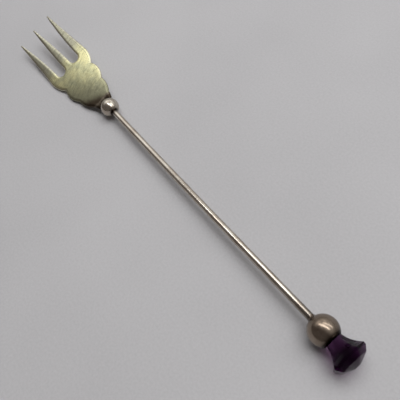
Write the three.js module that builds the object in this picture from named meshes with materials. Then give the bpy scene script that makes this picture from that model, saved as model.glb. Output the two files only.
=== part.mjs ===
// A silver pickle fork with a thistle end: a lobed three-tine blade, a bead at its heel, a round stem,
// a hollow bulb and a flared octagonal stone. Millimetres, +Z up, lying as it comes to rest on a table.
//
// The fork is built straight along its own X axis, from the tines to the stone, with the middle of the
// bead at X = 0. Two groups then lay it down, and a third puts the origin under the middle of its box.

import * as THREE from "three";

// Blade, measured from the middle of the bead towards the tines.
const bladeThickness = 1.1;
const edgeChamfer = 0.2;
const heelStart = 6;
const heelWidth = 8.4;
const heelLobeLength = 7.3;
const heelLobeBulge = 1.3;
const secondNotchWidth = 12.5;
const middleLobeLength = 9.1;
const middleLobeBulge = 2.4;
const firstNotchWidth = 14.8;
const shoulderLength = 7.5;
const shoulderWidth = 19.6;
const slotRootSetback = 1.15;
const slotWidth = 3.7;
const centreTineWidth = 3.7;
const tineLength = 28.2;
const outerTineSetback = 0.1;
const tineTipSpread = 16.3;
const tineTipFlat = 0.3;
const centreTineFullness = 0.28;
const outerTineFullness = 0.47;
const tineTipThickness = 0.7;
const tineTipRise = 4.2;
const bladeSidestep = 0.57;
const heelHugDegrees = 48;
const heelEndWidth = 0.8;
const tangWidth = 2;
const tangDepth = 2.2;

// Bead and stem.
const beadDiameter = 6.7;
const beadWall = 0.6;
const stemDiameter = 1.8;
const stemSpan = 106;
const stemDepthInBead = 2.2;
const stemDepthInBulb = 3;

// Bulb, collet and cement.
const bulbDiameter = 8.5;
const bulbWall = 0.5;
const colletWall = 0.25;
const colletStand = 0.3;
const colletDepth = 1.3;

// Stone: its octagon is measured across the corners.
const stoneSides = 8;
const stoneNeckDiameter = 5.3;
const stoneFootDepth = 1.1;
const neckTierLength = 2.1;
const neckTierDiameter = 6.4;
const flareTierLength = 1.8;
const flareTierDiameter = 8.4;
const rimTierLength = 1.15;
const stoneRimDiameter = 10.6;
const girdleThickness = 0.7;
const crownTierHeight = 1.3;
const crownTierDiameter = 8.2;
const crownTopHeight = 1.1;
const tableDiameter = 1.8;
// One flat of the stone lies on the table, which leaves the blade turned by this much about the stem.
const stoneTurnDegrees = 17;

// Room between pieces that are soldered or cemented together.
const jointGap = 0.15;
// Fineness of round shapes.
const roundSides = 28;
const domeSteps = 8;
const curvePoints = 6;

const beadRadius = beadDiameter / 2;
const stemRadius = stemDiameter / 2;
const bulbRadius = bulbDiameter / 2;
const secondNotchAt = heelStart + heelLobeLength;
const firstNotchAt = secondNotchAt + middleLobeLength;
const shoulderAt = firstNotchAt + shoulderLength;
const slotRootAt = shoulderAt - slotRootSetback;
const bladeLength = slotRootAt + tineLength;

const silver = new THREE.MeshStandardMaterial({ color: 0xb9b0a2, roughness: 0.25, metalness: 1 });
const gilt = new THREE.MeshStandardMaterial({ color: 0xc4c389, roughness: 0.35, metalness: 1 });
const amethyst = new THREE.MeshStandardMaterial({ color: 0x3a2348, roughness: 0.08, metalness: 0 });
const cement = new THREE.MeshStandardMaterial({ color: 0x8c7f6c, roughness: 0.9, metalness: 0 });

function piece(name, geometry, material) {
  const mesh = new THREE.Mesh(geometry, material);
  mesh.name = name;
  return mesh;
}

// A profile of (distance along the stem, radius) points, spun about the X axis.
function spun(profile, sides) {
  const points = profile.map(([along, radius]) => new THREE.Vector2(radius, along));
  const geometry = new THREE.LatheGeometry(points, sides);
  geometry.rotateZ(-Math.PI / 2);
  return geometry;
}

// Points on a circle about the X axis, from one distance along it to another, as a profile.
function arcProfile(radius, fromAlong, toAlong) {
  const fromAngle = Math.acos(fromAlong / radius);
  const toAngle = Math.acos(toAlong / radius);
  const points = [];
  for (let step = 0; step <= domeSteps; step += 1) {
    const angle = fromAngle + (toAngle - fromAngle) * (step / domeSteps);
    points.push([radius * Math.cos(angle), radius * Math.sin(angle)]);
  }
  return points;
}

// Half of a hollow ball, open at its pole. It is drawn on the +X side and turned round for the other.
function dome(radius, wall, holeRadius, side) {
  const inner = radius - wall;
  const seam = jointGap / 2;
  const outerArc = arcProfile(radius, seam, Math.sqrt(radius ** 2 - holeRadius ** 2));
  const innerArc = arcProfile(inner, Math.sqrt(inner ** 2 - holeRadius ** 2), seam);
  const profile = [...outerArc, ...innerArc];
  profile.push(profile[0]);
  const geometry = spun(profile, roundSides);
  if (side < 0) {
    geometry.rotateZ(Math.PI);
  }
  return geometry;
}

// One side of the blade's outline, from the tip of the middle tine round to the tang. Distances run from
// the bead towards the tines, and side is +1 or -1 across the stem.
function bladeSide(side) {
  const path = new THREE.Path();
  const tip = edgeChamfer + tineTipFlat / 2;
  const outerTip = tineTipSpread / 2;
  const outerLength = bladeLength - outerTineSetback;
  const innerWall = centreTineWidth / 2;
  const slotRadius = slotWidth / 2;
  const outerWall = innerWall + slotWidth;
  const slotCentreAt = slotRootAt + slotRadius;
  const hugRadius = beadRadius + jointGap;
  const half = (a, b) => (a + b) / 2;

  path.moveTo(-bladeLength, 0);
  path.absarc(tip - bladeLength, 0, tip, Math.PI, side * Math.PI / 2, side > 0);
  path.quadraticCurveTo(
    -half(bladeLength, slotCentreAt),
    side * (half(tip, innerWall) + 2 * centreTineFullness),
    -slotCentreAt, side * innerWall,
  );
  path.absarc(
    -slotCentreAt, side * (innerWall + slotRadius), slotRadius,
    -side * Math.PI / 2, side * Math.PI / 2, side < 0,
  );
  path.quadraticCurveTo(
    -half(outerLength, slotCentreAt),
    side * (half(outerTip - tip, outerWall) - 2 * outerTineFullness),
    -(outerLength - tip), side * (outerTip - tip),
  );
  path.absarc(
    tip - outerLength, side * outerTip, tip,
    -side * Math.PI / 2, side * Math.PI / 2, side > 0,
  );
  path.lineTo(-shoulderAt, side * shoulderWidth / 2);
  path.quadraticCurveTo(
    -half(shoulderAt, firstNotchAt), side * shoulderWidth / 2,
    -firstNotchAt, side * firstNotchWidth / 2,
  );
  path.quadraticCurveTo(
    -half(firstNotchAt, secondNotchAt),
    side * (half(firstNotchWidth, secondNotchWidth) / 2 + middleLobeBulge),
    -secondNotchAt, side * secondNotchWidth / 2,
  );
  path.quadraticCurveTo(
    -half(secondNotchAt, heelStart),
    side * (half(secondNotchWidth, heelWidth) / 2 + heelLobeBulge),
    -heelStart, side * heelWidth / 2,
  );
  // The heel closes round the bead, then runs into the tang.
  const hornAngle = THREE.MathUtils.degToRad(heelHugDegrees);
  const tangAngle = Math.asin(tangWidth / 2 / hugRadius);
  const hornRadius = hugRadius + heelEndWidth;
  path.lineTo(-hornRadius * Math.cos(hornAngle), side * hornRadius * Math.sin(hornAngle));
  path.absarc(0, 0, hugRadius, Math.PI - side * hornAngle, Math.PI - side * tangAngle, side < 0);
  path.lineTo(-(beadRadius - tangDepth), side * tangWidth / 2);
  // Where an arc starts on the end of a line, only one of the two points is kept.
  const points = path.getPoints(curvePoints);
  const leastStep = edgeChamfer / curvePoints ** 2;
  return points.filter((point, i) => i === 0 || point.distanceTo(points[i - 1]) > leastStep);
}

function bladeGeometry() {
  const near = bladeSide(-1);
  const far = bladeSide(1).reverse();
  far.pop();
  const outline = new THREE.Shape([...near, ...far]);
  const geometry = new THREE.ExtrudeGeometry(outline, {
    depth: bladeThickness - 2 * edgeChamfer,
    bevelThickness: edgeChamfer,
    bevelSize: edgeChamfer,
    bevelOffset: -edgeChamfer,
    bevelSegments: 1,
    steps: 1,
  });
  geometry.translate(0, 0, edgeChamfer - bladeThickness / 2);

  // The tines thin towards their points, and the blade sweeps up from the bead. It was soldered on by hand,
  // so it also steps a little to one side along its heel.
  const position = geometry.getAttribute("position");
  for (let i = 0; i < position.count; i += 1) {
    const distance = -position.getX(i);
    const onTine = THREE.MathUtils.clamp((distance - slotRootAt) / tineLength, 0, 1);
    const onBlade = Math.max(distance - beadRadius, 0) / (bladeLength - beadRadius);
    const thin = THREE.MathUtils.lerp(1, tineTipThickness / bladeThickness, onTine);
    const aside = bladeSidestep * THREE.MathUtils.smoothstep(distance, beadRadius, secondNotchAt);
    position.setY(i, position.getY(i) - aside);
    position.setZ(i, position.getZ(i) * thin + tineTipRise * onBlade ** 2);
  }
  geometry.computeVertexNormals();
  return geometry;
}

// Distances along the stem from the middle of the bulb.
const colletBore = stoneNeckDiameter / 2 + jointGap;
const colletRadius = colletBore + colletWall;
const mouthRadius = colletRadius + jointGap;
const mouthAt = Math.sqrt(bulbRadius ** 2 - mouthRadius ** 2);
const colletFront = mouthAt + colletStand;
const colletBack = mouthAt - colletDepth;
const stoneFootAt = mouthAt - stoneFootDepth;
const stemEnd = stemDepthInBulb - bulbRadius;

function colletGeometry() {
  const profile = [
    [colletBack, colletRadius],
    [colletFront, colletRadius],
    [colletFront, colletBore],
    [colletBack, colletBore],
    [colletBack, colletRadius],
  ];
  return spun(profile, roundSides);
}

function cementGeometry() {
  const radius = bulbRadius - bulbWall - jointGap;
  const pocket = stemRadius + jointGap;
  const front = Math.min(colletBack, stoneFootAt) - jointGap;
  const profile = [
    [stemEnd + jointGap, 0],
    [stemEnd + jointGap, pocket],
    ...arcProfile(radius, -Math.sqrt(radius ** 2 - pocket ** 2), front),
    [front, 0],
  ];
  return spun(profile, roundSides);
}

function stoneGeometry() {
  const tiers = [
    [stoneFootDepth + colletStand, stoneNeckDiameter],
    [neckTierLength, neckTierDiameter],
    [flareTierLength, flareTierDiameter],
    [rimTierLength, stoneRimDiameter],
    [girdleThickness, stoneRimDiameter],
    [crownTierHeight, crownTierDiameter],
    [crownTopHeight, tableDiameter],
  ];
  let along = stoneFootAt;
  const profile = [[along, 0], [along, stoneNeckDiameter / 2]];
  for (const [length, diameter] of tiers) {
    along += length;
    profile.push([along, diameter / 2]);
  }
  profile.push([along, 0]);
  const geometry = spun(profile, stoneSides).toNonIndexed();
  geometry.computeVertexNormals();
  // A corner starts at the top: half a side brings a flat there, and the turn sets it against the blade.
  geometry.rotateX(Math.PI / stoneSides - THREE.MathUtils.degToRad(stoneTurnDegrees));
  return geometry;
}

function stemGeometry() {
  const start = beadRadius - stemDepthInBead;
  const end = stemSpan + stemEnd;
  return spun([[start, 0], [start, stemRadius], [end, stemRadius], [end, 0]], roundSides);
}

const tangHole = Math.hypot(tangWidth / 2, bladeThickness / 2) + jointGap;
const stemHole = stemRadius + jointGap;

const fork = new THREE.Group();
fork.add(piece("fork_blade", bladeGeometry(), gilt));
fork.add(piece("bead_blade_half", dome(beadRadius, beadWall, tangHole, -1), silver));
fork.add(piece("bead_stem_half", dome(beadRadius, beadWall, stemHole, 1), silver));
fork.add(piece("stem", stemGeometry(), silver));

const thistle = new THREE.Group();
thistle.position.x = stemSpan;
thistle.add(piece("bulb_stem_half", dome(bulbRadius, bulbWall, stemHole, -1), silver));
thistle.add(piece("bulb_stone_half", dome(bulbRadius, bulbWall, mouthRadius, 1), silver));
thistle.add(piece("stone_collet", colletGeometry(), silver));
thistle.add(piece("setting_cement", cementGeometry(), cement));
thistle.add(piece("thistle_stone", stoneGeometry(), amethyst));
fork.add(thistle);

// At rest the stone lies on one flat of its girdle and the bead on its side: the stem climbs to the stone.
const girdleFlat = stoneRimDiameter / 2 * Math.cos(Math.PI / stoneSides);
const girdleAt = stemSpan + colletFront + neckTierLength + flareTierLength + rimTierLength;
const reach = Math.hypot(girdleFlat, girdleAt);
const climb = Math.acos(beadRadius / reach) - Math.atan2(girdleAt, girdleFlat);

fork.rotation.x = THREE.MathUtils.degToRad(stoneTurnDegrees);
const lying = new THREE.Group();
lying.rotation.y = -climb;
lying.add(fork);

// The origin is on the table, under the middle of the fork's box.
const pickleFork = new THREE.Group();
pickleFork.add(lying);
pickleFork.updateMatrixWorld(true);
const box = new THREE.Box3().setFromObject(pickleFork, true);
const middle = box.getCenter(new THREE.Vector3());
lying.position.set(-middle.x, -middle.y, -box.min.z);

export default pickleFork;
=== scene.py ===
# %% [markdown]
# A pickle fork with a thistle end. It is an old piece of table silver: a gilt blade with three tines, a bead
# that hides a joint, a stem of drawn wire, and a thistle made of a silver ball and a faceted purple stone.
# The imported model says where every piece sits, so it is loaded first. The dressed fork must have the same
# size.

# %% Load the imported frame
import math

import bmesh
import bpy
from mathutils import Matrix, Vector
from mathutils.kdtree import KDTree


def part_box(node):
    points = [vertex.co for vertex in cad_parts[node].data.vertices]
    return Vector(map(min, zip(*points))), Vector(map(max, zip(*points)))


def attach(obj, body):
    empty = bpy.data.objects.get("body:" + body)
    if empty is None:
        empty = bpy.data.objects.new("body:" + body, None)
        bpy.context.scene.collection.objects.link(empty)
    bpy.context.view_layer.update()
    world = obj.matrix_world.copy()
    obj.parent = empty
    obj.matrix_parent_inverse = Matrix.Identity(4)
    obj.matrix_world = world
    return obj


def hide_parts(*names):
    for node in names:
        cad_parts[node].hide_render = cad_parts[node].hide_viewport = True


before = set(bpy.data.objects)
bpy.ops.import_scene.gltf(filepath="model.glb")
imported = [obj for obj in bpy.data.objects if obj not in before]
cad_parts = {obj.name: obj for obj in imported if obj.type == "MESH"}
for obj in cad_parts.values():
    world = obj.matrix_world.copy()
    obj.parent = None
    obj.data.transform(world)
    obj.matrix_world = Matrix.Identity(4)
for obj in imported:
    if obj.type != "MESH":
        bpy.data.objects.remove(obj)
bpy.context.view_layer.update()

MM = 0.001

# %% [markdown]
# The fork lies askew on the table: its axis climbs from the bead to the bulb, and the blade is rolled about
# that axis. A piece is easier to draw in the fork's own axes, in millimetres, with the bead's centre at zero
# and the stone along +X. So two matrices carry a finished drawing to its place: one for the round pieces and
# the stone, and one that adds the roll, for the blade.

# %% Find the fork's own axes
BLADE_ROLL = math.radians(17)


def ball_centre(first_dome, second_dome):
    """Centre of a ball made of two domes: its seam is halfway between their facing rims."""
    first_low, first_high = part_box(first_dome)
    second_low, second_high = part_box(second_dome)
    low = Vector(map(min, first_low, second_low))
    high = Vector(map(max, first_high, second_high))
    centre = (low + high) / 2
    centre.x = (first_high.x + second_low.x) / 2
    return centre


bead_centre = ball_centre("bead_blade_half", "bead_stem_half")
bulb_centre = ball_centre("bulb_stem_half", "bulb_stone_half")
span = bulb_centre - bead_centre
climb = math.atan2(span.z, span.x)
stem_axes = Matrix.Translation(bead_centre) @ Matrix.Rotation(-climb, 4, "Y") @ Matrix.Scale(MM, 4)
blade_axes = stem_axes @ Matrix.Rotation(BLADE_ROLL, 4, "X")
BULB_AT = span.length / MM
print(f"bead to bulb {BULB_AT:.2f} mm, climbing {math.degrees(climb):.2f} degrees")

# %% [markdown]
# The photograph was taken from close by and above the thistle, so the tines look small and the bulb large.
# The camera's place, turn and focal length come from a fit to points that are sure on both sides: the bead,
# the bulb, the tips of the tines and the notches of the blade.

# %% Place the camera
CAMERA_FROM_BEAD = Vector((122.88, -23.91, 123.08)) * MM
CAMERA_TURN = (29.05, 10.736, 52.076)
FOCAL_PIXELS = 465.4
IMAGE_PIXELS = 400
SENSOR_WIDTH = 36.0

scene = bpy.context.scene
scene.view_settings.view_transform = "Standard"
camera_data = bpy.data.cameras.new("camera")
camera_data.sensor_width = SENSOR_WIDTH
camera_data.lens = SENSOR_WIDTH * FOCAL_PIXELS / IMAGE_PIXELS
camera_data.clip_start = 10 * MM
camera = bpy.data.objects.new("camera", camera_data)
camera.location = bead_centre + CAMERA_FROM_BEAD
camera.rotation_euler = [math.radians(angle) for angle in CAMERA_TURN]
scene.collection.objects.link(camera)
scene.camera = camera
print(f"camera with a {camera_data.lens:.1f} mm lens, {camera.location.z / MM:.0f} mm above the table")

# %% [markdown]
# Strip lamps hang over the table, and polished silver shows them as slanting streaks. The place of those
# streaks on both balls says that the strips hang close above the fork. A lamp that near would light the
# table unevenly, and one that is bright enough to light it would burn the streaks out. So there are two sets
# of lamps. High ones light the table and shine through the stone, and are hidden from reflections. Dim low
# ones are seen only in reflections: four strips, and two wide panels off the end of the tines that show in
# the gilding.

# %% Hang the strip lamps
def hang_strip(name, start, end, height, width, watts, mirrored):
    """Hang a strip lamp between two places over the table, in metres, with a height and a width."""
    run = Vector(end) - Vector(start)
    data = bpy.data.lights.new(name, "AREA")
    data.shape = "RECTANGLE"
    data.size = run.length
    data.size_y = width
    data.energy = watts
    lamp = bpy.data.objects.new(name, data)
    lamp.location = ((start[0] + end[0]) / 2, (start[1] + end[1]) / 2, height)
    lamp.rotation_euler.z = math.atan2(run.y, run.x)
    lamp.visible_glossy = mirrored
    lamp.visible_transmission = not mirrored
    lamp.visible_diffuse = not mirrored
    lamp.visible_camera = False
    scene.collection.objects.link(lamp)
    print(f"{name}: {run.length:.2f} m long, {watts} W")


LIGHT_HEIGHT = 1.0
MIRRORED_HEIGHT = 0.145
PANEL_HEIGHT = 0.150

hang_strip("near_light", (-0.58, 0.10), (0.58, 0.54), LIGHT_HEIGHT, 0.60, 8.6, False)
hang_strip("far_light", (-0.51, 0.60), (0.71, 1.30), LIGHT_HEIGHT, 0.36, 4.6, False)
hang_strip("near_streak", (-0.060, -0.005), (0.145, 0.072), MIRRORED_HEIGHT, 0.028, 0.104, True)
hang_strip("end_streak", (-0.160, 0.020), (-0.062, -0.003), MIRRORED_HEIGHT, 0.028, 0.004, True)
hang_strip("far_streak", (-0.018, 0.066), (0.190, 0.200), MIRRORED_HEIGHT, 0.036, 0.088, True)
hang_strip("side_streak", (-0.200, 0.152), (0.000, 0.152), MIRRORED_HEIGHT, 0.070, 0.024, True)
hang_strip("end_panel", (-0.230, 0.024), (-0.100, 0.024), PANEL_HEIGHT, 0.144, 0.036, True)
hang_strip("low_panel", (-0.230, -0.083), (-0.100, -0.083), PANEL_HEIGHT, 0.070, 0.0066, True)

# %% [markdown]
# One function turns the hex colours that people write into the linear light that shaders take, and one adds a
# node. In a Mix node of colours, the factor is socket 0, the colours are 6 and 7, and the result is output 2.

# %% Two helpers for colours and nodes
def linear(hex_colour):
    """An sRGB colour such as "#B4A078" as a linear RGBA value."""
    parts = [int(hex_colour[i : i + 2], 16) / 255 for i in (1, 3, 5)]
    return [c / 12.92 if c <= 0.04045 else ((c + 0.055) / 1.055) ** 2.4 for c in parts] + [1.0]


def add_node(tree, kind, sockets=None, **settings):
    """Add a node. A socket that is given another node's output is linked, and any other value is set."""
    node = tree.nodes.new("ShaderNode" + kind)
    for name, value in settings.items():
        setattr(node, name, value)
    for name, value in (sockets or {}).items():
        if isinstance(value, bpy.types.NodeSocket):
            tree.links.new(value, node.inputs[name])
        else:
            node.inputs[name].default_value = value
    return node


print("mid grey #808080 in linear light:", round(linear("#808080")[0], 3))

# %% [markdown]
# Curved silver mirrors the whole room, so the world is not one grey. A pale wall stands along the far side,
# and it fades towards the table. The side behind the camera is dark grey. The direction that is looked in
# makes both fades. The lamps do the lighting of the paper, so a Light Path node gives rays from a glossy
# surface the full strength of the room, and most others a share of it. Rays from the camera meet plain wall,
# so that the backdrop is pale from every side.

# %% Paint the room around the table
WALL_COLOUR = linear("#DCDBD9")
DARK_COLOUR = linear("#706B69")
DIFFUSE_SHARE = 0.6
DARK_SIDE_TURN = 0.3
SIDE_FADE = 0.35
LIFT_FROM, LIFT_TO = 0.05, 0.65
LOW_WALL = 0.45

world = bpy.data.worlds.new("room")
scene.world = world
world.use_nodes = True
tree = world.node_tree
tree.nodes.clear()
looking = add_node(tree, "TexCoord").outputs["Generated"]
axes = add_node(tree, "SeparateXYZ", {"Vector": looking})
away = add_node(
    tree, "Math", {0: axes.outputs["X"], 1: -DARK_SIDE_TURN, 2: axes.outputs["Y"]}, operation="MULTIPLY_ADD"
)
side = add_node(
    tree,
    "MapRange",
    {"Value": away.outputs[0], "From Min": -SIDE_FADE, "From Max": SIDE_FADE},
    interpolation_type="SMOOTHSTEP",
)
lift = add_node(
    tree,
    "MapRange",
    {
        "Value": axes.outputs["Z"],
        "From Min": LIFT_FROM,
        "From Max": LIFT_TO,
        "To Min": LOW_WALL,
        "To Max": 1.0,
    },
    interpolation_type="SMOOTHSTEP",
)
share = add_node(tree, "Math", {0: side.outputs[0], 1: lift.outputs[0]}, operation="MULTIPLY")
tone = add_node(tree, "Mix", {0: share.outputs[0], 6: DARK_COLOUR, 7: WALL_COLOUR}, data_type="RGBA")
ray = add_node(tree, "LightPath").outputs
seen = add_node(
    tree, "Mix", {0: ray["Is Camera Ray"], 6: tone.outputs[2], 7: WALL_COLOUR}, data_type="RGBA"
)
full = add_node(tree, "Math", {0: ray["Is Camera Ray"], 1: ray["Is Glossy Ray"]}, operation="MAXIMUM")
strength = add_node(tree, "MapRange", {"Value": full.outputs[0], "To Min": DIFFUSE_SHARE, "To Max": 1.0})
room = add_node(tree, "Background", {"Color": seen.outputs[2], "Strength": strength.outputs[0]})
add_node(tree, "OutputWorld", {"Surface": room.outputs[0]})
print("room colours:", [round(c, 3) for c in WALL_COLOUR[:3]], [round(c, 3) for c in DARK_COLOUR[:3]])

# %% [markdown]
# Every material below starts the same way, with an empty tree and the coordinates of the piece in metres. A
# pattern's scale is then one over its real size, so a second small helper takes that size in millimetres.

# %% Start a material
def start_material(name):
    """A new material, its empty tree and the place on the piece, in metres."""
    material = bpy.data.materials.new(name)
    material.use_nodes = True
    material.node_tree.nodes.clear()
    place = add_node(material.node_tree, "TexCoord").outputs["Object"]
    return material, material.node_tree, place


def size(millimetres):
    """Scale of a pattern whose features are this large."""
    return 1 / (millimetres * MM)


print("a 4 mm pattern has a scale of", size(4))

# %% [markdown]
# The table is covered with matt paper. Real paper is never one grey: its fibres make a fine grain, and it has
# faint wide clouds. The fibres are far below a pixel, so the grain is drawn coarser than it is, with specks
# of about two pixels.

# %% Matt paper
# Uncoated paper: no shine, a pale grey with a fine speckle, and shadows that stay soft.
paper, tree, place = start_material("uncoated_grey_paper")
grain = add_node(tree, "TexNoise", {"Vector": place, "Scale": size(0.7), "Detail": 2.0})
clouds = add_node(tree, "TexNoise", {"Vector": place, "Scale": size(60), "Detail": 2.0})
shades = add_node(tree, "Math", {0: grain.outputs["Fac"], 1: clouds.outputs["Fac"]}, operation="ADD")
spread = add_node(tree, "MapRange", {"Value": shades.outputs[0], "From Min": 0.7, "From Max": 1.3})
colour = add_node(
    tree,
    "Mix",
    {0: spread.outputs[0], 6: linear("#B1B0B2"), 7: linear("#BBBABC")},
    data_type="RGBA",
)
tooth = add_node(
    tree, "Bump", {"Height": grain.outputs["Fac"], "Strength": 0.25, "Distance": 0.05 * MM}
)
surface = add_node(
    tree,
    "BsdfPrincipled",
    {
        "Base Color": colour.outputs[2],
        "Roughness": 0.85,
        "Specular IOR Level": 0.2,
        "Normal": tooth.outputs[0],
    },
)
add_node(tree, "OutputMaterial", {"Surface": surface.outputs[0]})
print(paper.name)

# %% Lay the table top
TABLE_SIDE = 3.0

sheet = bmesh.new()
bmesh.ops.create_grid(sheet, x_segments=4, y_segments=4, size=TABLE_SIDE / 2)
table_mesh = bpy.data.meshes.new("table_top")
sheet.to_mesh(table_mesh)
sheet.free()
table_mesh.materials.append(paper)
table_top = bpy.data.objects.new("table_top", table_mesh)
scene.collection.objects.link(table_top)
print(f"table top of {TABLE_SIDE} m, {len(table_mesh.polygons)} faces")

# %% [markdown]
# The stem and both balls are sterling silver that was polished long ago. Handling keeps the stem and the bead
# fairly bright, while a brown film has grown over the bulb, and grime stays in the joints, where a cloth
# can't reach. Beside the mouth of the bulb and on the collet, under the flare of the stone, the darkening is
# painted shade as well as grime. Each piece stores how dark its points are in an attribute called
# grime. One function makes the silver, and is called once for the bright pieces and once for the
# brown ones.

# %% Worn silver
def worn_silver(name, bright, dull):
    """Old silver with patches of two tones, darkened where the piece's attribute says so: grime, and painted
    shade under the stone.
    """
    material, tree, place = start_material(name)
    # grime: real grime, and on the bulb's mouth and the collet painted shade under the stone
    grime = add_node(tree, "Attribute", attribute_name="grime").outputs["Fac"]
    patches = add_node(tree, "TexNoise", {"Vector": place, "Scale": size(5), "Detail": 5.0, "Roughness": 0.6})
    film = add_node(tree, "MapRange", {"Value": patches.outputs["Fac"], "From Min": 0.35, "From Max": 0.65})
    filmed = add_node(tree, "Mix", {0: film.outputs[0], 6: linear(bright), 7: linear(dull)}, data_type="RGBA")
    colour = add_node(tree, "Mix", {0: grime, 6: filmed.outputs[2], 7: linear("#1E1610")}, data_type="RGBA")
    wipes = add_node(tree, "TexNoise", {"Vector": place, "Scale": size(0.8), "Detail": 4.0})
    polish = add_node(
        tree,
        "MapRange",
        {"Value": wipes.outputs["Fac"], "From Min": 0.3, "From Max": 0.7, "To Min": 0.18, "To Max": 0.25},
    )
    knocks = add_node(tree, "TexNoise", {"Vector": place, "Scale": size(3), "Detail": 1.0})
    dents = add_node(tree, "Bump", {"Height": knocks.outputs["Fac"], "Strength": 0.08, "Distance": 0.02 * MM})
    surface = add_node(
        tree,
        "BsdfPrincipled",
        {
            "Base Color": colour.outputs[2],
            "Metallic": 1.0,
            "Roughness": polish.outputs[0],
            "Normal": dents.outputs[0],
        },
    )
    add_node(tree, "OutputMaterial", {"Surface": surface.outputs[0]})
    print(name)
    return material


# Worn sterling silver: a metal that mirrors the room in soft streaks, grey and a little warm.
silver = worn_silver("worn_sterling_silver", "#CBC4B9", "#B1A699")
# Sterling silver under a brown film of tarnish: the same streaks, but darker and warmer.
browned_silver = worn_silver("browned_sterling_silver", "#95887B", "#796B5E")

# %% [markdown]
# The blade has a thin wash of pale gold over the silver. It is greyest on the tines, which wear most, and it
# is rubbed away on the edges, which an attribute called rub marks. An attribute called engraved darkens the
# line that is cut along the outer edges. A painted shade dulls the gold towards the heel and towards the -Y
# side, away from the lamps. Then come a band of dark brown tarnish, a narrow strip of bare silver, and a dark
# band beside the bead that is partly grime and partly painted shade where the blade meets the bead. The blade
# lies along X, so those places are read from the X coordinate, with some noise to fray them. The painted
# shade and the tarnish run aslant.

# %% Rubbed gilding
# Pale gilding on silver: yellow-green and satin, whiter on the rubbed edges, brown where it ends at the heel.
HEEL_X = bead_centre.x / MM
TINES_FROM, TINES_TO = HEEL_X - 29, HEEL_X - 37
# painted shade: the gold is darkened towards the heel and towards the -Y side, away from the lamps
DULL_FROM, DULL_TO = HEEL_X - 27, HEEL_X - 9
BROWN_FROM, BROWN_TO = HEEL_X - 9.5, HEEL_X - 4.8
BARE_FROM, BARE_TO = HEEL_X - 5.3, HEEL_X - 4.9
# dark band beside the bead: partly grime, partly painted shade where the blade meets the bead
DARK_FROM, DARK_TO = HEEL_X - 4.7, HEEL_X - 4.2
FRAY = 0.9
SLANT = 0.8

gilt, tree, place = start_material("rubbed_parcel_gilding")
rub = add_node(tree, "Attribute", attribute_name="rub").outputs["Fac"]
axes = add_node(tree, "SeparateXYZ", {"Vector": place})
mottle = add_node(tree, "TexNoise", {"Vector": place, "Scale": size(5), "Detail": 4.0, "Roughness": 0.55})
stains = add_node(tree, "MapRange", {"Value": mottle.outputs["Fac"], "From Min": 0.40, "From Max": 0.70})
wash = add_node(
    tree,
    "Mix",
    {0: stains.outputs[0], 6: linear("#ECE7B2"), 7: linear("#C6C8A4")},
    data_type="RGBA",
)
on_tines = add_node(
    tree,
    "MapRange",
    {"Value": axes.outputs["X"], "From Min": TINES_FROM * MM, "From Max": TINES_TO * MM},
    interpolation_type="SMOOTHSTEP",
)
worn = add_node(
    tree, "Mix", {0: on_tines.outputs[0], 6: wash.outputs[2], 7: linear("#B2B09A")}, data_type="RGBA"
)
rubbed = add_node(
    tree, "Mix", {0: rub, 6: worn.outputs[2], 7: linear("#F0EBE2")}, data_type="RGBA"
)
cut = add_node(tree, "Attribute", attribute_name="engraved").outputs["Fac"]
lined = add_node(tree, "Mix", {0: cut, 6: rubbed.outputs[2], 7: linear("#A09D7A")}, data_type="RGBA")
fray = add_node(
    tree,
    "MapRange",
    {
        "Value": mottle.outputs["Fac"],
        "From Min": 0.3,
        "From Max": 0.7,
        "To Min": -FRAY * MM,
        "To Max": FRAY * MM,
    },
)
along = add_node(tree, "Math", {0: axes.outputs["X"], 1: fray.outputs[0]}, operation="ADD").outputs[0]
aslant = add_node(
    tree, "Math", {0: axes.outputs["Y"], 1: -SLANT, 2: along}, operation="MULTIPLY_ADD"
).outputs[0]
colour = lined.outputs[2]
for way, start, end, tone in (
    # painted shade that dulls the gold, darker towards the heel and the -Y side
    (aslant, DULL_FROM, DULL_TO, "#94937A"),
    (aslant, BROWN_FROM, BROWN_TO, "#4C4236"),
    (along, BARE_FROM, BARE_TO, "#6E6559"),
    # partly grime, partly painted shade where the blade meets the bead
    (along, DARK_FROM, DARK_TO, "#3F362C"),
):
    reach = add_node(
        tree,
        "MapRange",
        {"Value": way, "From Min": start * MM, "From Max": end * MM},
        interpolation_type="SMOOTHSTEP",
    )
    colour = add_node(
        tree, "Mix", {0: reach.outputs[0], 6: colour, 7: linear(tone)}, data_type="RGBA"
    ).outputs[2]
strokes = add_node(tree, "TexNoise", {"Vector": place, "Scale": size(0.7), "Detail": 3.0})
satin = add_node(
    tree,
    "MapRange",
    {"Value": strokes.outputs["Fac"], "From Min": 0.3, "From Max": 0.7, "To Min": 0.17, "To Max": 0.25},
)
hammer = add_node(tree, "Mapping", {"Vector": place, "Scale": (2.5, 1.0, 1.0)})
marks = add_node(tree, "TexNoise", {"Vector": hammer.outputs[0], "Scale": size(3), "Detail": 1.0})
dents = add_node(tree, "Bump", {"Height": marks.outputs["Fac"], "Strength": 0.5, "Distance": 0.22 * MM})
surface = add_node(
    tree,
    "BsdfPrincipled",
    {"Base Color": colour, "Metallic": 1.0, "Roughness": satin.outputs[0], "Normal": dents.outputs[0]},
)
add_node(tree, "OutputMaterial", {"Surface": surface.outputs[0]})
print(gilt.name)

# %% [markdown]
# The stone is a deep purple quartz. Its colour is inside it, so the thick head is almost black while the thin
# neck lets lilac light through. An absorbing volume does that by itself: the longer the way of a ray through
# the stone, the less comes out.

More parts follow.
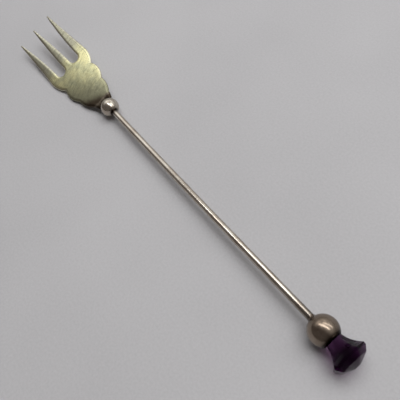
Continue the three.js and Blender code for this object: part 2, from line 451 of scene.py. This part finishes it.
# %% Amethyst
# Polished amethyst: reflections on flat facets, and a colour that deepens with the thickness. Its index of
# refraction is set below the 1.54 of the real stone, so that the facets mirror little of the pale table.
amethyst, tree, place = start_material("polished_amethyst")
zones = add_node(tree, "TexNoise", {"Vector": place, "Scale": size(3), "Detail": 2.0})
colour = add_node(
    tree,
    "Mix",
    {0: zones.outputs["Fac"], 6: linear("#F0E8F0"), 7: linear("#DCC8DC")},
    data_type="RGBA",
)
surface = add_node(
    tree,
    "BsdfPrincipled",
    {
        "Base Color": colour.outputs[2],
        "Roughness": 0.03,
        "IOR": 1.28,
        "Transmission Weight": 1.0,
        "Specular Tint": linear("#3A3440"),
    },
)
depth = add_node(tree, "VolumeAbsorption", {"Color": linear("#AE68B0"), "Density": 540.0})
add_node(tree, "OutputMaterial", {"Surface": surface.outputs[0], "Volume": depth.outputs[0]})
print(amethyst.name)

# %% [markdown]
# The cement inside the bulb is never seen from outside, except as a shade through the foot of the stone. Its
# CAD solid has the right shape, so it stays and only gets a finish.

# %% Setting cement
# Hard resin and brick dust: matt, buff and grainy.
cement, tree, place = start_material("setting_cement")
grit = add_node(tree, "TexNoise", {"Vector": place, "Scale": size(0.4), "Detail": 4.0})
colour = add_node(
    tree,
    "Mix",
    {0: grit.outputs["Fac"], 6: linear("#7D6A52"), 7: linear("#A59172")},
    data_type="RGBA",
)
lumps = add_node(tree, "Bump", {"Height": grit.outputs["Fac"], "Strength": 0.4, "Distance": 0.1 * MM})
surface = add_node(
    tree,
    "BsdfPrincipled",
    {"Base Color": colour.outputs[2], "Roughness": 0.9, "Normal": lumps.outputs[0]},
)
add_node(tree, "OutputMaterial", {"Surface": surface.outputs[0]})
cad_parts["setting_cement"].data.materials.clear()
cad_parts["setting_cement"].data.materials.append(cement)
print(cement.name)

# %% [markdown]
# Every new piece ends in the same way: its drawing is carried to its place, shaded smooth with its real edges
# kept sharp, and tied to the frame. The function below does that, and says how many triangles it made.

# %% Finish a piece
def finish_piece(drawing, name, node, axes, material, sharp=35):
    """Make an object of a drawing in fork millimetres, in the place of a CAD node."""
    bmesh.ops.transform(drawing, matrix=axes, verts=drawing.verts)
    mesh = bpy.data.meshes.new(name)
    for face in drawing.faces:
        face.smooth = True
    triangles = sum(len(face.verts) - 2 for face in drawing.faces)
    drawing.to_mesh(mesh)
    drawing.free()
    mesh.set_sharp_from_angle(angle=math.radians(sharp))
    mesh.materials.append(material)
    piece = bpy.data.objects.new(name, mesh)
    scene.collection.objects.link(piece)
    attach(piece, "root")
    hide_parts(node)
    print(f"{name}: {triangles} triangles")


# %% [markdown]
# The blade was sawn from sheet silver and then filed, so its outline has sharp notches while its edges are
# round. A filled outline with a bevel would need a bevel that shrinks towards the tips. So the blade starts
# as a flat grid instead, whose rows run across the blade and whose columns follow its edges, and the round
# edge comes from each point's distance to the outline. First come the sizes and the curves of the outline,
# as half widths at a distance from the bead.

# %% Outline of the blade
HORN = (2.877, 3.195)
HEEL = (6.0, 4.2)
SECOND_NOTCH = (13.3, 6.25)
FIRST_NOTCH = (22.4, 7.4)
SHOULDER = (29.9, 9.8)
HEEL_PULL, MIDDLE_PULL, SHOULDER_PULL = 6.525, 9.225, 9.8
SLOT_MIDDLE, SLOT_RADIUS = 3.7, 1.85
SLOT_END = 30.6
TIP_RADIUS = 0.35
BLADE_LENGTH = 56.95
OUTER_SETBACK = 0.1
CENTRE_TIP = BLADE_LENGTH - TIP_RADIUS
OUTER_TIP = BLADE_LENGTH - OUTER_SETBACK - TIP_RADIUS
OUTER_TIP_MIDDLE = 8.15
INNER_PULL, CENTRE_PULL = 5.735, 1.66


def between(start, end, t):
    """Value a share t of the way from start to end."""
    return start + (end - start) * t


def pulled(start, pull, end, at):
    """Half width on a curve from one (distance, half width) to another, pulled towards a third in between."""
    t = (at - start[0]) / (end[0] - start[0])
    return between(between(start[1], pull, t), between(pull, end[1], t), t)


def outer_edge(at):
    """Half width of the blade at a distance from the bead."""
    if at < HEEL[0]:
        return pulled(HORN, (HORN[1] + HEEL[1]) / 2, HEEL, at)
    if at < SECOND_NOTCH[0]:
        return pulled(HEEL, HEEL_PULL, SECOND_NOTCH, at)
    if at < FIRST_NOTCH[0]:
        return pulled(SECOND_NOTCH, MIDDLE_PULL, FIRST_NOTCH, at)
    if at < SHOULDER[0]:
        return pulled(FIRST_NOTCH, SHOULDER_PULL, SHOULDER, at)
    tip = (OUTER_TIP, OUTER_TIP_MIDDLE + TIP_RADIUS)
    return pulled(SHOULDER, (SHOULDER[1] + tip[1]) / 2, tip, at)


def inner_edge(at):
    """Inner edge of an outer tine."""
    root = (SLOT_END, SLOT_MIDDLE + SLOT_RADIUS)
    return pulled(root, INNER_PULL, (OUTER_TIP, OUTER_TIP_MIDDLE - TIP_RADIUS), at)


def centre_edge(at):
    """Half width of the centre tine."""
    root = (SLOT_END, SLOT_MIDDLE - SLOT_RADIUS)
    return pulled(root, CENTRE_PULL, (CENTRE_TIP, TIP_RADIUS), at)


print("widths along the blade:", [round(2 * outer_edge(at), 1) for at in (4, 10, 17, 25, 40, 56)])

# %% [markdown]
# The columns of the grid are named by their place across the blade at the ends of the slots: half of the
# centre tine, a slot, and an outer tine. They crowd together where an edge is round, and again along the
# engraved line, which is one column pushed in. The rows crowd together at the ends of the slots and at the
# tips.

# %% Rows and columns of the blade
EDGE_ROUND = 0.9
ENGRAVED_LINE = 1.05
FULL_WIDTH = outer_edge(SLOT_END)
SLOT_START, SLOT_FAR = SLOT_MIDDLE - SLOT_RADIUS, SLOT_MIDDLE + SLOT_RADIUS
BODY_END = 26.0
ROW_STEP = 0.4
EDGE_STEPS, SLOT_STEPS, TINE_STEPS = 6, 14, 36
CENTRE_COLUMNS = [0, 0.4]
TINE_COLUMNS = [6.9, 7.3, 7.7, 8.1, 8.4]
BEFORE_LINE, AFTER_LINE = 0.12, 0.1
HEEL_ROWS = (0, 0.03, 0.09, 0.18, 0.32, 0.55, 0.8)
ROOT_ROWS = (0, 0.2, 0.4, 0.55, 0.68, 0.78, 0.86, 0.92, 0.96, 0.99, 1)

turns = [math.radians(90 / EDGE_STEPS * step) for step in range(EDGE_STEPS + 1)]
slot_turns = [math.pi * step / SLOT_STEPS for step in range(1, SLOT_STEPS)]
rounding = [EDGE_ROUND * (1 - math.cos(turn)) for turn in turns]
line_place = FULL_WIDTH - ENGRAVED_LINE
columns = CENTRE_COLUMNS + [SLOT_START - inset for inset in reversed(rounding)]
columns += [SLOT_MIDDLE - SLOT_RADIUS * math.cos(turn) for turn in slot_turns]
columns += [SLOT_FAR + inset for inset in rounding]
columns += TINE_COLUMNS + [line_place - BEFORE_LINE, line_place, line_place + AFTER_LINE]
columns += [FULL_WIDTH - inset for inset in reversed(rounding)]
rows = [("heel", t) for t in HEEL_ROWS]
for start, end in ((HEEL, SECOND_NOTCH), (SECOND_NOTCH, FIRST_NOTCH), (FIRST_NOTCH, (BODY_END, 0))):
    steps = round((end[0] - start[0]) / ROW_STEP)
    rows += [("body", between(start[0], end[0], step / steps)) for step in range(steps)]
rows += [("root", t) for t in ROOT_ROWS]
rows += [("tine", step / TINE_STEPS) for step in range(1, TINE_STEPS + 1)]
rows += [("tip", turn) for turn in turns[1:]]
print(len(rows), "rows and", len(columns), "columns")

# %% [markdown]
# The heel is filed hollow to fit the bead, with a tang in its middle that goes into the bead. Further out,
# each row is a straight line across the blade until the slots begin, where the rows bend round the ends of
# the slots.

# %% Where a row meets a column
BEAD_RADIUS = 3.35
HOLLOW_RADIUS = 3.33
HOLLOW_TURN = math.radians(48)
TANG_HALF_WIDTH = 1.0
TANG_END = 1.15


def heel_end(across):
    """Distance from the bead's centre at which the heel ends, at a place across it."""
    hollow = min(across, HOLLOW_RADIUS * math.sin(HOLLOW_TURN))
    end = math.sqrt(HOLLOW_RADIUS**2 - hollow**2)
    if across < TANG_HALF_WIDTH:
        return TANG_END
    return end + max(0, across - hollow)


def blade_point(row, column):
    """Distance from the bead and place across the blade, for a row and a column of the grid."""
    part, t = row
    if part == "heel":
        width = between(HORN[1], HEEL[1], t)
        start = heel_end(column * HORN[1] / FULL_WIDTH)
        return between(start, HEEL[0], t), column * width / FULL_WIDTH
    if part == "body":
        return t, column * outer_edge(t) / FULL_WIDTH
    if part == "root":
        in_slot = max(0, SLOT_RADIUS**2 - (column - SLOT_MIDDLE) ** 2)
        end = SLOT_END - math.sqrt(in_slot)
        edge = outer_edge(between(BODY_END, SLOT_END, t))
        return between(BODY_END, end, t), column * edge / FULL_WIDTH
    if column <= SLOT_START:
        share = column / SLOT_START
        if part == "tip":
            return CENTRE_TIP + TIP_RADIUS * math.sin(t), share * TIP_RADIUS * math.cos(t)
        at = between(SLOT_END, CENTRE_TIP, t)
        return at, share * centre_edge(at)
    share = (column - SLOT_FAR) / (FULL_WIDTH - SLOT_FAR)
    if part == "tip":
        across = OUTER_TIP_MIDDLE + (2 * share - 1) * TIP_RADIUS * math.cos(t)
        return OUTER_TIP + TIP_RADIUS * math.sin(t), across
    at = between(SLOT_END, OUTER_TIP, t)
    return at, between(inner_edge(at), outer_edge(at), share)


print("tip of the centre tine:", [round(c, 2) for c in blade_point(rows[-1], 0)])

# %% [markdown]
# Now the operators do the work. A grid gives the faces, the faces between the tines are deleted, the points
# go to their places, and a mirror makes the other side. Each point keeps its column in a layer, because the
# engraved line follows one column.

# %% Draw the flat blade
MERGE = 0.001
TINY = 1e-6

blade = bmesh.new()
bmesh.ops.create_grid(blade, x_segments=len(columns) - 1, y_segments=len(rows) - 1, size=0.5)
last_root = max(i for i, row in enumerate(rows) if row[0] == "root")


def grid_step(place, count):
    """Number of the row or column at a place on the grid, which is one unit wide about its middle."""
    return (place + 0.5) * (count - 1)


between_tines = []
for face in blade.faces:
    middle = face.calc_center_median()
    column = columns[int(grid_step(middle.x, len(columns)))]
    in_slot = SLOT_START - TINY <= column < SLOT_FAR - TINY
    if in_slot and grid_step(middle.y, len(rows)) > last_root:
        between_tines.append(face)
bmesh.ops.delete(blade, geom=between_tines, context="FACES")

column_layer = blade.verts.layers.float.new("column")
for vert in blade.verts:
    column = columns[round(grid_step(vert.co.x, len(columns)))]
    row = rows[round(grid_step(vert.co.y, len(rows)))]
    vert[column_layer] = column
    at, across = blade_point(row, column)
    vert.co = (-at, across, 0)
everything = blade.verts[:] + blade.edges[:] + blade.faces[:]
bmesh.ops.mirror(blade, geom=everything, matrix=Matrix(), merge_dist=MERGE, axis="Y")
bmesh.ops.remove_doubles(blade, verts=blade.verts, dist=MERGE)
print("flat blade:", len(blade.faces), "faces")

# %% [markdown]
# The distance to the outline now lifts the sheet like a cushion with a flat top, and also says where the
# gilding is rubbed. A second mirror adds the underside. Last come the engraved line on the upper side, the
# slight crown across the blade, the upward sweep of the tines, and the sidestep of the heel.

# %% Give the blade its thickness
HALF_THICK = 0.55
TIP_HALF_THICK = 0.38
CROWN = 0.4
LINE_DEPTH = 0.04
SAME_COLUMN = 0.001
TINE_RISE = 4.2
SIDESTEP = 0.57
RUB_WIDTH = 0.25
BURR, BURR_SHARE = 0.14, 0.40
FILE_CURVE = 1.6


def filed_edge(inset):
    """Height of the edge, from 0 to 1: a short round burr, then a filed slope that eases into the flat."""
    burr = 1 - min(inset / BURR, 1)
    slope = 1 - min(inset / EDGE_ROUND, 1)
    return BURR_SHARE * math.sqrt(1 - burr**2) + (1 - BURR_SHARE) * (1 - slope**FILE_CURVE)


def sidestep_at(at):
    """The blade was soldered on by hand, and steps a little to one side along its heel."""
    t = max(0, min(1, (at - BEAD_RADIUS) / (SECOND_NOTCH[0] - BEAD_RADIUS)))
    return SIDESTEP * t * t * (3 - 2 * t)


outline = {vert for edge in blade.edges if edge.is_boundary for vert in edge.verts}
nearest = KDTree(len(outline))
for index, vert in enumerate(outline):
    nearest.insert(vert.co, index)
nearest.balance()
rub_layer = blade.verts.layers.float.new("rub")
engraved_layer = blade.verts.layers.float.new("engraved")
for vert in blade.verts:
    inset = nearest.find(vert.co)[2]
    vert[rub_layer] = math.exp(-inset / RUB_WIDTH)
    along_tine = max(0, (-vert.co.x - SLOT_END) / (CENTRE_TIP - SLOT_END))
    half = between(HALF_THICK, TIP_HALF_THICK, along_tine)
    vert.co.z = half * filed_edge(inset)
everything = blade.verts[:] + blade.edges[:] + blade.faces[:]
bmesh.ops.mirror(blade, geom=everything, matrix=Matrix(), merge_dist=MERGE, axis="Z")
bmesh.ops.recalc_face_normals(blade, faces=blade.faces)
for vert in blade.verts:
    sweep = (-vert.co.x - BEAD_RADIUS) / (BLADE_LENGTH - BEAD_RADIUS)
    engraved = vert.co.z > 0 and abs(vert[column_layer] - line_place) < SAME_COLUMN
    vert[engraved_layer] = 1 if engraved else 0
    vert.co.z -= LINE_DEPTH if engraved else 0
    vert.co.z += CROWN * (0.5 - (vert.co.y / SHOULDER[1]) ** 2)
    vert.co.z += TINE_RISE * max(0, sweep) ** 2
    vert.co.y -= sidestep_at(-vert.co.x)
finish_piece(blade, "blade", "fork_blade", blade_axes, gilt, sharp=60)

# %% [markdown]
# The bead and the bulb are hollow balls, each soldered together from two stamped domes. A dome is a turned
# shape, so its section is drawn as a closed line of points and spun about the fork's axis. The function also
# fills the grime attribute, from a rule that says how dark a place along the axis is: grime, and on
# the bulb's mouth and the collet painted shade as well.

# %% Spin a section
WELD = 0.0005


def spin_round(drawing, line, steps):
    """Spin a line of points and edges all the way round the fork's axis."""
    bmesh.ops.spin(
        drawing,
        geom=line,
        cent=(0, 0, 0),
        axis=(1, 0, 0),
        angle=2 * math.pi,
        steps=steps,
        use_merge=True,
    )


def spin_section(section, grime_at, steps=96):
    """Turn a closed section of (distance along the axis, radius) points about the fork's axis."""
    turned = bmesh.new()
    ring = [turned.verts.new((x, 0, radius)) for x, radius in section]
    sides = [turned.edges.new(pair) for pair in zip(ring, ring[1:] + ring[:1])]
    spin_round(turned, ring + sides, steps)
    bmesh.ops.remove_doubles(turned, verts=turned.verts, dist=WELD)
    bmesh.ops.recalc_face_normals(turned, faces=turned.faces)
    layer = turned.verts.layers.float.new("grime")
    for vert in turned.verts:
        vert[layer] = grime_at(vert.co.x)
    return turned


def arc(centre, radius, start, end, steps=28):
    """Points on a circle about the fork's axis, from one angle to another in degrees."""
    angles = [math.radians(between(start, end, step / steps)) for step in range(steps + 1)]
    return [(centre + radius * math.cos(angle), radius * math.sin(angle)) for angle in angles]


print("a quarter of the bead:", [round(c, 2) for c in arc(0, BEAD_RADIUS, 90, 180)[14]])

# %% [markdown]
# The dome towards the blade is pierced for the tang. The dome towards the stem runs out into a small fillet
# of solder, which is a curve from the ball to the wire.

# %% The bead
BEAD_WALL = 0.6
STEM_RADIUS = 1.1
TANG_HOLE = 1.15
FILLET_START = 1.6
FILLET_LENGTH = 0.45
FILLET_PULL, FILLET_LIFT = 0.35, 0.03
COLLAR_START, COLLAR_FADE = 3.1, 0.25
HEEL_GRIME_REACH = 0.9


def angle_at(radius, ball_radius):
    """Angle from the fork's axis at which a ball has this radius."""
    return math.degrees(math.asin(radius / ball_radius))


def solder_fillet(centre, ball_radius, way, steps=6):
    """Curve of solder from a ball to the stem, towards +X or -X."""
    start = (centre + way * math.sqrt(ball_radius**2 - FILLET_START**2), FILLET_START)
    end = (centre + way * (ball_radius + FILLET_LENGTH), STEM_RADIUS)
    pull = (between(start[0], end[0], FILLET_PULL), STEM_RADIUS + FILLET_LIFT)
    points = []
    for step in range(1, steps + 1):
        t = step / steps
        first = [between(a, b, t) for a, b in zip(start, pull)]
        second = [between(a, b, t) for a, b in zip(pull, end)]
        points.append(tuple(between(a, b, t) for a, b in zip(first, second)))
    return points


def joint_grime(place, reach, most=1.0):
    """Rule for grime that fades with the distance from a joint along the axis."""
    return lambda x: most * math.exp(-abs(x - place) / reach)


def collar_grime(x):
    """Grime on the solder round the stem, which fades towards the middle of the bead."""
    return math.exp(-max(0, COLLAR_START - x) / COLLAR_FADE)


inner = BEAD_RADIUS - BEAD_WALL
section = arc(0, BEAD_RADIUS, 90, 180 - angle_at(TANG_HOLE, BEAD_RADIUS))
section += arc(0, inner, 180 - angle_at(TANG_HOLE, inner), 90)
bead_front = spin_section(section, joint_grime(-BEAD_RADIUS, HEEL_GRIME_REACH))
finish_piece(bead_front, "bead_front", "bead_blade_half", stem_axes, silver)
section = arc(0, BEAD_RADIUS, 90, angle_at(FILLET_START, BEAD_RADIUS))
section += solder_fillet(0, BEAD_RADIUS, 1)
section += arc(0, inner, angle_at(STEM_RADIUS, inner), 90)
bead_back = spin_section(section, collar_grime)
finish_piece(bead_back, "bead_back", "bead_stem_half", stem_axes, silver)

# %% [markdown]
# The stem is drawn wire, so it is one more turned shape. Its section has short steps along the axis, because
# the grime beside the two balls, and the film of tarnish that spreads from the bulb, are stored in its
# points. A wire this thin is never quite straight, so its middle is moved a little to one side.

# %% The stem
STEM_START = 1.15
STEM_IN_BULB = 3
BULB_RADIUS = 4.25
STEM_END = BULB_AT - BULB_RADIUS + STEM_IN_BULB
STEM_BOW = 0.21
STEM_STEPS = 80
CLEAN_FROM, CLEAN_TO = BEAD_RADIUS + 0.9, BULB_AT - BULB_RADIUS - 0.1
DIRT_FADE = 0.4
FILM, FILM_REACH = 0.6, 7.0

stations = [between(STEM_START, STEM_END, step / STEM_STEPS) for step in range(STEM_STEPS + 1)]
section = [(STEM_START, 0)] + [(x, STEM_RADIUS) for x in stations] + [(STEM_END, 0)]


def stem_grime(x):
    """Grime beside the bead and the bulb, and a film that thins out along the wire from the bulb."""
    from_bulb = max(0, CLEAN_TO - x)
    ends = max(0, min(x - CLEAN_FROM, from_bulb))
    return max(math.exp(-ends / DIRT_FADE), FILM * math.exp(-from_bulb / FILM_REACH))


stem = spin_section(section, stem_grime, steps=48)
for vert in stem.verts:
    vert.co.y -= STEM_BOW * math.sin(math.pi * vert.co.x / BULB_AT)
finish_piece(stem, "stem_wire", "stem", stem_axes, silver)

# %% [markdown]
# The bulb is made as the bead is, but larger and thinner. Its second dome has a mouth for the stone, and the
# metal beside the mouth is darkened: partly tarnish that nobody could polish off under the flare of the
# stone, and partly painted shade under that flare.

# %% The bulb
BULB_WALL = 0.5
MOUTH_RADIUS = 3.15
MOUTH_RIM, MOUTH_FADE = 2.75, 0.6
# painted shade under the stone's flare, together with tarnish, darkens the bulb beside the mouth
MOUTH_GRIME = 0.95
SOLDER_AT = BULB_AT - BULB_RADIUS - 0.15
SOLDER_REACH, SOLDER_GRIME = 0.6, 0.5


def mouth_grime(x):
    """Grime and painted shade on the rim of the mouth, under the stone's flare, which fade towards the middle
    of the bulb.
    """
    return MOUTH_GRIME * math.exp(-max(0, BULB_AT + MOUTH_RIM - x) / MOUTH_FADE)


inner = BULB_RADIUS - BULB_WALL
section = arc(BULB_AT, BULB_RADIUS, 90, 180 - angle_at(FILLET_START, BULB_RADIUS))
section += solder_fillet(BULB_AT, BULB_RADIUS, -1)
section += arc(BULB_AT, inner, 180 - angle_at(STEM_RADIUS, inner), 90)
bulb_front = spin_section(section, joint_grime(SOLDER_AT, SOLDER_REACH, SOLDER_GRIME))
finish_piece(bulb_front, "bulb_front", "bulb_stem_half", stem_axes, browned_silver)
section = arc(BULB_AT, BULB_RADIUS, 90, angle_at(MOUTH_RADIUS, BULB_RADIUS))
section += arc(BULB_AT, inner, angle_at(MOUTH_RADIUS, inner), 90)
bulb_back = spin_section(section, mouth_grime)
finish_piece(bulb_back, "bulb_back", "bulb_stone_half", stem_axes, browned_silver)

# %% [markdown]
# The collet is the thin ring that grips the foot of the stone. Its rim was rolled over, so the section ends
# in a small half circle.

# %% The collet
COLLET_START, COLLET_END = 1.497, 3.097
COLLET_INSIDE, COLLET_OUTSIDE = 2.78, 3.08
# the collet sits under the flare of the stone: its darkening is painted shade as well as grime
COLLET_GRIME = 0.95
RIM_STEPS = 8

middle = (COLLET_INSIDE + COLLET_OUTSIDE) / 2
rim = (COLLET_OUTSIDE - COLLET_INSIDE) / 2
section = [(BULB_AT + COLLET_START, COLLET_INSIDE)]
for step in range(RIM_STEPS + 1):
    turn = math.pi * step / RIM_STEPS
    section.append((BULB_AT + COLLET_END - rim + rim * math.sin(turn), middle - rim * math.cos(turn)))
section.append((BULB_AT + COLLET_START, COLLET_OUTSIDE))
collet = spin_section(section, lambda x: COLLET_GRIME)
finish_piece(collet, "collet_ring", "stone_collet", stem_axes, browned_silver)

# %% [markdown]
# The stone is cut with eight sides. It has a neck, a hollow flare, a narrow girdle, and a low crown with a
# small table. Half of its section is a line of points, with a curve for the flare. A spin of only eight steps
# gives exactly such facets, and a tiny bevel takes the edge off, as the polisher's wheel does.

# %% The stone
NECK_RADIUS, RIM_RADIUS = 2.65, 5.3
FLARE_START, FLARE_END = 3.097, 8.147
FLARE_CURVE = 1.93
FLARE_STEPS = 16
STONE_FOOT = ((1.697, 0.0), (1.697, NECK_RADIUS))
STONE_CROWN = ((8.847, RIM_RADIUS), (10.147, 4.1), (11.247, 0.9), (11.247, 0.0))
STONE_SIDES = 8
FACET_BEVEL = 0.05
FLAT_FACET = math.radians(1)
SHARP_FACET = math.radians(8)


def flare_point(t):
    """Place on the hollow flare, from the neck at 0 to the girdle at 1."""
    return between(FLARE_START, FLARE_END, t), between(NECK_RADIUS, RIM_RADIUS, t**FLARE_CURVE)


flare = [flare_point(step / FLARE_STEPS) for step in range(FLARE_STEPS + 1)]

stone = bmesh.new()
half_side = math.pi / STONE_SIDES
corners = [
    stone.verts.new((BULB_AT + x, radius * math.sin(half_side), -radius * math.cos(half_side)))
    for x, radius in (*STONE_FOOT, *flare, *STONE_CROWN)
]
sides = [stone.edges.new(pair) for pair in zip(corners, corners[1:])]
spin_round(stone, corners + sides, STONE_SIDES)
bmesh.ops.remove_doubles(stone, verts=stone.verts, dist=MERGE)
bmesh.ops.dissolve_limit(stone, angle_limit=FLAT_FACET, verts=stone.verts, edges=stone.edges)
bmesh.ops.recalc_face_normals(stone, faces=stone.faces)
bmesh.ops.bevel(
    stone,
    geom=[edge for edge in stone.edges if edge.calc_face_angle(0) > SHARP_FACET],
    offset=FACET_BEVEL,
    segments=2,
    profile=0.5,
    affect="EDGES",
    material=-1,
)
finish_piece(stone, "stone", "thistle_stone", stem_axes, amethyst, sharp=4)
